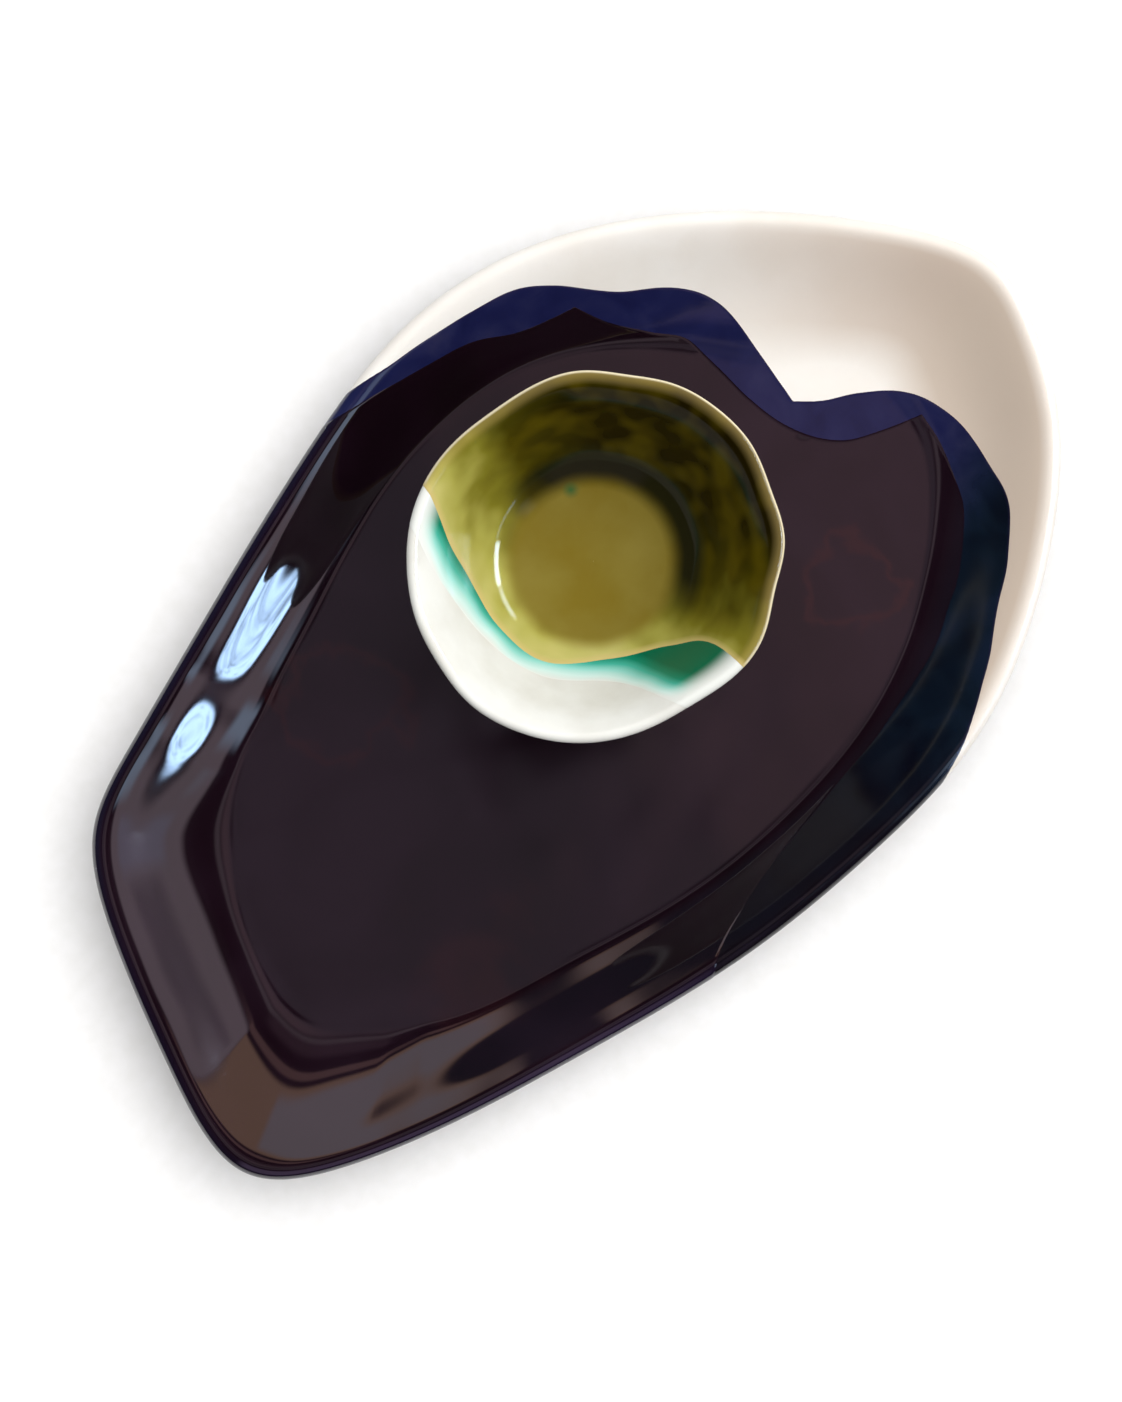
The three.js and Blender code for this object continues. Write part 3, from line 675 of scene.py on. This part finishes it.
# Dip bowl body: a small thrown bowl of white clay with a flared lip, its rim pinched out of round by
# hand while soft. It stands loose in the well on its own foot ring.
bowl_rim_radius = 61.5
bowl_height = 48
bowl_wall = 3
bowl_floor_radius = 34
bowl_fillet = 12
bowl_floor_thickness = 4.5
bowl_lip_flare = math.radians(14)
bowl_foot_radius = 31
bowl_foot_width = 5
bowl_foot_height = 3
bowl_foot_bend = 1.4  # height at which the foot's side turns outwards
bowl_foot_drop = 0.6  # from the clay's foot down to the glaze that it stands on
pinch_fade = 1.5  # powers by which the pulling out and the raising of the rim fade further down
rise_fade = 2.0
bowl_seat_drawn = (36.5, 19)
bowl_around = 288
bowl_floor_steps = 11
fillet_steps = 12
side_steps = 30
bowl_lip_rows = 10
bowl_rim = closed_curve(np.array([
    (2.5, 0.4), (1.75, 0), (-0.1, -0.4), (0.4, 0.1), (-1.3, 0.6), (-2.75, 0.5), (-1.6, 0.2), (-0.1, -0.3),
    (0.75, -0.6), (0.9, -0.2), (1.35, 0.2), (1.4, 0.5), (2.5, 0.8), (1.9, 0.4), (0.85, 0), (-0.6, -0.5),
    (-2.25, -0.8), (-2.85, -0.3), (-0.6, 0.2), (0.4, 0.4), (-0.75, 0.6), (1.85, 0.2), (1.2, -0.2),
    (2.6, 0.1)]), bowl_around)  # how far the rim is pulled out and raised, all the way round

bowl_floor = bowl_foot_height + bowl_floor_thickness
bowl_lip_radius = bowl_wall / 2
bowl_corner = np.array([bowl_floor_radius, bowl_floor])
bowl_lip_centre = np.array([bowl_rim_radius - bowl_lip_radius, bowl_height - bowl_lip_radius])
wall_lean = math.atan2(*(bowl_lip_centre - bowl_corner)[::-1])
lip_lean = wall_lean - bowl_lip_flare
up_bowl = np.array([math.cos(wall_lean), math.sin(wall_lean)])
up_lip = np.array([math.cos(lip_lean), math.sin(lip_lean)])
off_lip = np.array([-math.sin(lip_lean), math.cos(lip_lean)])
bowl_wall_top = bowl_lip_centre + off_lip * bowl_lip_radius
bowl_wall_foot = bowl_corner + up_bowl * bowl_fillet
third = np.linalg.norm(bowl_wall_top - bowl_wall_foot) / 3
fillet, off_fillet = bezier(
    [bowl_corner - (bowl_fillet, 0), bowl_corner, bowl_wall_foot], np.linspace(0, 1, fillet_steps + 1))
side, off_side = bezier(
    [bowl_wall_foot, bowl_wall_foot + up_bowl * third, bowl_wall_top - up_lip * third, bowl_wall_top],
    np.linspace(0, 1, side_steps + 1)[1:])
bowl_inner, off_bowl = np.concatenate([fillet, side]), np.concatenate([off_fillet, off_side])
bowl_lip_turn = np.linspace(0, math.pi, bowl_lip_rows + 2)[1:-1, None]
bowl_lip_way = np.cos(bowl_lip_turn) * off_lip + np.sin(bowl_lip_turn) * up_lip
bowl_lip = bowl_lip_centre + bowl_lip_radius * bowl_lip_way
bowl_outer = (bowl_inner - off_bowl * bowl_wall)[::-1]
bowl_floor_reach = np.linspace(0, bowl_corner[0] - bowl_fillet, bowl_floor_steps + 1)[:-1]
bowl_floor_line = np.stack([bowl_floor_reach, np.full(bowl_floor_steps, bowl_floor)], axis=1)
bowl_foot_line = np.array([
    (bowl_foot_radius + foot_taper, bowl_floor - bowl_wall),
    (bowl_foot_radius + 0.4 * foot_taper, bowl_foot_bend),
    (bowl_foot_radius, soft - bowl_foot_drop), (bowl_foot_radius - soft, -bowl_foot_drop),
    (bowl_foot_radius - bowl_foot_width + soft, -bowl_foot_drop),
    (bowl_foot_radius - bowl_foot_width, soft - bowl_foot_drop),
    (bowl_foot_radius - bowl_foot_width - foot_taper, bowl_foot_height), (0, bowl_foot_height)])
above_foot = bowl_outer[bowl_outer[:, 0] > bowl_foot_radius + 2 * foot_taper]
bowl_section = np.concatenate([bowl_floor_line, bowl_inner, bowl_lip, above_foot, bowl_foot_line])

# The section is swung round the axis, and each turn of it is pulled out and raised as the rim is there
bowl_tree, bowl_inputs, given = new_tree("Pinched bowl", "Bowl", {
    "Section": "Geometry", "Rim": "Object", "Height": "Float", "Pinch Fade": "Float", "Rise Fade": "Float",
    "Seat": "Vector", "Clay": "Material"})
rim_geometry = put(bowl_tree, "GeometryNodeObjectInfo", {"Object": given["Rim"]}).outputs["Geometry"]
along_count = put(bowl_tree, "GeometryNodeAttributeDomainSize", {0: given["Section"]}).outputs["Point Count"]
around_count = put(bowl_tree, "GeometryNodeAttributeDomainSize", {0: rim_geometry}).outputs["Point Count"]
along_steps = put(bowl_tree, "ShaderNodeMath", {0: along_count, 1: 1.0}, operation="SUBTRACT")
around_ends = put(bowl_tree, "ShaderNodeMath", {0: around_count, 1: 1.0}, operation="ADD")
grid = put(bowl_tree, "GeometryNodeMeshGrid", {
    "Size X": along_steps, "Size Y": around_count, "Vertices X": along_count, "Vertices Y": around_ends})
spot = put(bowl_tree, "ShaderNodeSeparateXYZ", {0: put(bowl_tree, "GeometryNodeInputPosition")}).outputs
along = put(bowl_tree, "ShaderNodeMath", {0: along_steps, 1: 0.5, 2: spot["X"]}, operation="MULTIPLY_ADD")
around = put(bowl_tree, "ShaderNodeMath", {0: around_count, 1: 0.5, 2: spot["Y"]}, operation="MULTIPLY_ADD")
step = put(bowl_tree, "FunctionNodeFloatToInt", {0: along})
station = put(bowl_tree, "FunctionNodeFloatToInt", {0: around})
station = put(bowl_tree, "ShaderNodeMath", {0: station, 1: around_count}, operation="MODULO")
own_place = put(bowl_tree, "GeometryNodeInputPosition")
section_at = put(bowl_tree, "GeometryNodeSampleIndex", {
    "Geometry": given["Section"], "Value": own_place, "Index": step}, data_type="FLOAT_VECTOR")
rim_at = put(bowl_tree, "GeometryNodeSampleIndex", {
    "Geometry": rim_geometry, "Value": own_place, "Index": station}, data_type="FLOAT_VECTOR")
section_at = put(bowl_tree, "ShaderNodeSeparateXYZ", {0: section_at}).outputs
rim_at = put(bowl_tree, "ShaderNodeSeparateXYZ", {0: rim_at}).outputs
share = put(bowl_tree, "ShaderNodeMath", {0: section_at["Z"], 1: given["Height"]},
            operation="DIVIDE", use_clamp=True)
pinch = put(bowl_tree, "ShaderNodeMath", {0: share, 1: given["Pinch Fade"]}, operation="POWER")
lift = put(bowl_tree, "ShaderNodeMath", {0: share, 1: given["Rise Fade"]}, operation="POWER")
reach = put(bowl_tree, "ShaderNodeMath", {0: rim_at["X"], 1: pinch, 2: section_at["X"]},
            operation="MULTIPLY_ADD")
level = put(bowl_tree, "ShaderNodeMath", {0: rim_at["Z"], 1: lift, 2: section_at["Z"]},
            operation="MULTIPLY_ADD")
turn = put(bowl_tree, "ShaderNodeMath", {0: station, 1: around_count}, operation="DIVIDE")
turn = put(bowl_tree, "ShaderNodeMath", {0: turn, 1: 2 * math.pi}, operation="MULTIPLY")
swung = put(bowl_tree, "ShaderNodeCombineXYZ", {0: reach, 2: level})
swung = put(bowl_tree, "ShaderNodeVectorRotate", {"Vector": swung, "Angle": turn}, rotation_type="Z_AXIS")
seated = put(bowl_tree, "ShaderNodeVectorMath", {0: swung, 1: given["Seat"]}, operation="ADD")
stepped = put(bowl_tree, "GeometryNodeStoreNamedAttribute", {
    "Geometry": grid, "Name": "step", "Value": along}, data_type="FLOAT")
shaped = put(bowl_tree, "GeometryNodeSetPosition", {"Geometry": stepped, "Position": seated})
end_tree(bowl_tree, shaped, given["Clay"])


def line_mesh(name, points):
    """Points of a section, as across and up, in a mesh of single vertices."""
    mesh = bpy.data.meshes.new(name)
    mesh.from_pydata([(across * MM, 0, up * MM) for across, up in points], [], [])
    return mesh


rim_line = new_piece("bowl_rim_line", line_mesh("bowl_rim_line", bowl_rim))
seat_plan = (np.array(bowl_seat_drawn) - drawn_middle) * plan_stretch * MM
bowl_seat = Vector((*seat_plan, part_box("bowl_body")[0].z))


def pinched_bowl(name, section, material):
    """A bowl, or a skin of one, swept round from its section and pinched as the rim is."""
    sizes = {"Rim": rim_line, "Height": bowl_height * MM, "Pinch Fade": pinch_fade, "Rise Fade": rise_fade,
             "Seat": bowl_seat, "Clay": material}
    return made_by(bowl_tree, bowl_inputs, name, line_mesh(name, section), sizes)


# Fired white clay, bare: smooth, off-white and dry
white_clay, tree, shader, position = new_material("bare white clay")
cloud = put(tree, "ShaderNodeTexNoise", {"Vector": position, "Scale": 1 / (12 * MM), "Detail": 5})
chalk = put(tree, "ShaderNodeValToRGB", {"Fac": cloud}, stops=[
    (0.3, "#ddd2bf"), (0.55, "#e6ddcd"), (0.75, "#ece5d8")])
grain = put(tree, "ShaderNodeTexNoise", {"Vector": position, "Scale": 1 / (0.5 * MM), "Detail": 2})
tooth = put(tree, "ShaderNodeBump", {"Height": grain, "Strength": 0.3, "Distance": 0.05 * MM})
feed(tree, shader, {"Base Color": chalk, "Roughness": 0.75, "Normal": tooth})
bowl_clay = pinched_bowl("bowl_clay", bowl_section, white_clay)
bowl_clay.data.attributes.remove(bowl_clay.data.attributes["step"])
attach(bowl_clay, "bowl")
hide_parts("bowl_body")

# White glaze: the bowl's liner coat, a glass layer poured over the white clay and fused to it. It is
# left showing as a crescent on the side away from the dip.
outer_glazed = 39  # points of the outer face, from the lip down, that the coats can reach
hem_up = 4  # from the last of these points up to the coats' hem
coat_section = np.concatenate([bowl_floor_line, bowl_inner, bowl_lip, bowl_outer[:outer_glazed]])
coat_walked = np.concatenate([[0], np.cumsum(np.linalg.norm(np.diff(coat_section, axis=0), axis=1))])
crest_step = len(bowl_floor_line) + len(bowl_inner) + len(bowl_lip) // 2
bowl_skin = pinched_bowl("bowl_skin", coat_section, white_clay)
skin_mesh = bowl_skin.data
skin_points = np.empty(len(skin_mesh.vertices) * 3)
skin_mesh.vertices.foreach_get("co", skin_points)
skin_points = skin_points.reshape(-1, 3)
skin_steps = np.empty(len(skin_mesh.vertices))
skin_mesh.attributes["step"].data.foreach_get("value", skin_steps)
skin_walked = coat_walked[np.rint(skin_steps).astype(int)]
swing = np.arctan2(skin_points[:, 1] - bowl_seat.y, skin_points[:, 0] - bowl_seat.x)
bowl_hem = coat_walked[-1] - hem_up + 1.2 * np.sin(3 * swing + 0.6) + 0.6 * np.sin(7 * swing)
bowl_surface = {
    "points": skin_points,
    "faces": [tuple(face.vertices) for face in skin_mesh.polygons],
    "hem": (bowl_hem - skin_walked) * MM,
    "crest": (skin_walked - coat_walked[crest_step]) * MM,
}
bpy.data.objects.remove(bowl_skin)
bpy.data.objects.remove(rim_line)
drawn_bowl_radius = 62


def on_bowl(lobes):
    """Points drawn across the bowl, in metres where it stands."""
    return drawn_line(lobes) * bowl_rim_radius / drawn_bowl_radius * MM + bowl_seat[:2]


olive_edge = on_bowl([[
    (-14, 75), (-19, 60), (-31, 36), (-40, 9), (-38, -11), (-23, -27), (-6, -40.5), (3, -51), (2, -75)]])
teal_edge = on_bowl([[
    (-27, 75), (-31, 58), (-40, 37), (-46, 10), (-43, -13), (-30, -31), (-25, -40), (-21, -53), (-17, -62),
    (-15, -75)]])
teal_under = 14 * MM  # reach of the teal under the olive

# Gloss white glaze: milk white, faintly clouded, with soft highlights
white, tree, shader, position = new_material("gloss white glaze")
cloud = put(tree, "ShaderNodeTexNoise", {"Vector": position, "Scale": 1 / (18 * MM), "Detail": 4})
milk = put(tree, "ShaderNodeValToRGB", {"Fac": cloud}, stops=[
    (0.3, "#d6d5ce"), (0.6, "#e1e1dc")])
feed(tree, shader, {"Base Color": milk, "Roughness": 0.15, "Specular IOR Level": 0.3, "IOR": 1.5})
white_coat = dipped_coat(
    "bowl_white_coat", bowl_surface, lambda places: depth_in(places, teal_edge) + lap_under,
    thickness=0.6, roll=0.9, glaze=white)
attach(white_coat, "bowl")
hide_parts("bowl_white_glaze")

# Teal glaze: where the copper in the dip ran out thin over the white, a streak and a pool between the
# white and the olive, fused to both.

# Gloss copper glaze: milky green where it is thin, deep sea green where it pooled under the olive
teal, tree, shader, position = new_material("gloss teal glaze")
smear = put(tree, "ShaderNodeTexNoise", {"Vector": position, "Scale": 1 / (16 * MM), "Detail": 0})
inside = put(tree, "ShaderNodeAttribute", attribute_name="cover").outputs["Fac"]
smear = put(tree, "ShaderNodeMath", {0: smear, 1: 3 * MM, 2: -1.5 * MM}, operation="MULTIPLY_ADD")
inside = put(tree, "ShaderNodeMath", {0: inside, 1: smear}, operation="ADD")
depth = put(tree, "ShaderNodeMapRange", {"Value": inside, "From Max": 14 * MM})
green = put(tree, "ShaderNodeValToRGB", {"Fac": depth}, stops=[
    (0.04, "#e0e2dd"), (0.16, "#cfe9e3"), (0.32, "#90d3c7"), (0.46, "#45ad98"),
    (0.62, "#158062"), (0.85, "#0a6446")])
over_lip = put(tree, "ShaderNodeAttribute", attribute_name="crest").outputs["Fac"]
washed = put(tree, "ShaderNodeMapRange", {"Value": over_lip, "From Min": -12 * MM, "From Max": -2 * MM},
             interpolation_type="SMOOTHSTEP")
green = put(tree, "ShaderNodeMix", {0: washed, 6: green, 7: "#e0e2dd"}, data_type="RGBA")
feed(tree, shader, {"Base Color": green, "Roughness": 0.1, "Specular IOR Level": 0.2, "IOR": 1.5})
teal_coat = dipped_coat(
    "bowl_teal_coat", bowl_surface,
    lambda places: np.minimum(-depth_in(places, teal_edge), depth_in(places, olive_edge) + teal_under),
    thickness=0.66, roll=0.9, glaze=teal)
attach(teal_coat, "bowl")
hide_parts("bowl_teal_glaze")

# Olive glaze: the bowl's dip, with the bowl held by its white side. It covers most of the inside and the
# outside over the white and the teal, and is fused to them.

# Gloss iron glaze: amber-green, mottled dark where it is thick, tan where it breaks over the lip and thins
# at its edge.
# It is painted darker towards the right as painted shade, with a painted dark reflection in the fillet on
# the far side, and a khaki floor that is partly painted light
olive, tree, shader, position = new_material("gloss olive glaze")
cloud = put(tree, "ShaderNodeTexNoise", {"Vector": position, "Scale": 1 / (14 * MM), "Detail": 1.5})
inside = put(tree, "ShaderNodeAttribute", attribute_name="cover").outputs["Fac"]
sway = put(tree, "ShaderNodeMath", {0: cloud, 1: 26 * MM, 2: -13 * MM}, operation="MULTIPLY_ADD")
swayed = put(tree, "ShaderNodeMath", {0: inside, 1: sway}, operation="ADD")
# Painted shade: the colour's depth grows towards the right, so the wall that faces away from the light is
# darker
from_middle = put(tree, "ShaderNodeVectorMath", {0: position, 1: bowl_seat}, operation="SUBTRACT")
rightward = put(tree, "ShaderNodeVectorMath", {0: from_middle, 1: photo_right}, operation="DOT_PRODUCT")
painted_shade_right = put(tree, "ShaderNodeMapRange", {"Value": rightward, "From Max": 40 * MM, "To Max": 15 * MM})
swayed = put(tree, "ShaderNodeMath", {0: swayed, 1: painted_shade_right}, operation="ADD")
depth = put(tree, "ShaderNodeMapRange", {"Value": swayed, "From Max": 100 * MM})
moss = put(tree, "ShaderNodeValToRGB", {"Fac": depth}, stops=[
    (0.0, "#bcb469"), (0.1, "#a7a14d"), (0.2, "#7b7423"), (0.36, "#403906"),
    (0.6, "#1e1700"), (0.95, "#171000")])
mottle = put(tree, "ShaderNodeTexNoise", {"Vector": position, "Scale": 1 / (13 * MM), "Detail": 1})
mottle = put(tree, "ShaderNodeMapRange", {
    "Value": mottle, "From Min": 0.42, "From Max": 0.68, "To Max": 0.6})
deep = put(tree, "ShaderNodeMapRange", {"Value": depth, "From Min": 0.15, "From Max": 0.45})
mottle = put(tree, "ShaderNodeMath", {0: mottle, 1: deep}, operation="MULTIPLY")
over_lip = put(tree, "ShaderNodeAttribute", attribute_name="crest").outputs["Fac"]
outside_share = put(tree, "ShaderNodeMapRange", {
    "Value": over_lip, "From Min": 1 * MM, "From Max": 5 * MM})
# Painted reflection: a dark band in the fillet on the far side, where the glaze mirrors the dark room
turned = put(tree, "ShaderNodeMapRange", {"Value": over_lip, "From Min": -62 * MM, "From Max": -38 * MM})
fillet_share = put(tree, "ShaderNodeValToRGB", {"Fac": turned}, stops=[
    (0.2, 0), (0.5, 1), (0.72, 1), (0.95, 0)])
far_bearing = math.radians(55)
far_side = photo_right * math.cos(far_bearing) + photo_up * math.sin(far_bearing)
farther = put(tree, "ShaderNodeVectorMath", {0: from_middle, 1: far_side}, operation="DOT_PRODUCT")
painted_dark_side = put(tree, "ShaderNodeMapRange", {"Value": farther, "From Min": -4 * MM, "From Max": 14 * MM})
fillet_share = put(tree, "ShaderNodeMath", {0: fillet_share, 1: painted_dark_side}, operation="MULTIPLY")
# Khaki on the flat floor: partly the glaze's own colour where it pools thin, partly painted light where the
# floor faces up
floor_share = put(tree, "ShaderNodeMapRange", {
    "Value": over_lip, "From Min": -56 * MM, "From Max": -49 * MM, "To Min": 1, "To Max": 0},
    interpolation_type="SMOOTHSTEP")
pool = put(tree, "ShaderNodeTexNoise", {"Vector": position, "Scale": 1 / (22 * MM), "Detail": 4})
khaki = put(tree, "ShaderNodeValToRGB", {"Fac": pool}, stops=[
    (0.32, "#796720"), (0.5, "#7d6d29"), (0.7, "#827330")])
lip_share = put(tree, "ShaderNodeMapRange", {"Value": over_lip, "From Min": -8 * MM, "From Max": 4 * MM})
broken = put(tree, "ShaderNodeValToRGB", {"Fac": lip_share}, stops=[
    (0.34, 0), (0.58, 0.3), (0.72, 0.55), (0.9, 0)])
ridge = put(tree, "ShaderNodeValToRGB", {"Fac": lip_share}, stops=[
    (0.61, 0), (0.66, 1), (0.71, 1), (0.78, 0)])
thin = put(tree, "ShaderNodeMapRange", {
    "Value": inside, "From Min": 0.4 * MM, "From Max": 3 * MM, "To Min": 1, "To Max": 0})

# One green speck of copper on the bowl's floor
speck_place = (bowl_seat.x + 13.8 * MM, bowl_seat.y + 21.7 * MM, bowl_seat.z + 8.3 * MM)
speck_way = put(tree, "ShaderNodeVectorMath", {0: position, 1: speck_place}, operation="DISTANCE")
speck = put(tree, "ShaderNodeMapRange", {
    "Value": speck_way, "From Min": 0.3 * MM, "From Max": 3.2 * MM, "To Min": 0.8, "To Max": 0})
for share, tint in (
        (mottle, "#5a4d08"), (outside_share, "#1a1204"), (floor_share, khaki), (fillet_share, "#201e0c"),
        (broken, "#a8925a"), (ridge, "#e4d9b8"), (thin, "#cbb575"), (speck, "#1d5a33")):
    moss = put(tree, "ShaderNodeMix", {0: share, 6: moss, 7: tint}, data_type="RGBA")
feed(tree, shader, {"Base Color": moss, "Roughness": 0.09, "Specular IOR Level": 0.1, "IOR": 1.52})
olive_coat = dipped_coat(
    "bowl_olive_coat", bowl_surface, lambda places: edge_wander(places) - depth_in(places, olive_edge),
    thickness=0.75, roll=0.9, glaze=olive)
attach(olive_coat, "bowl")
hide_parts("bowl_olive_glaze")
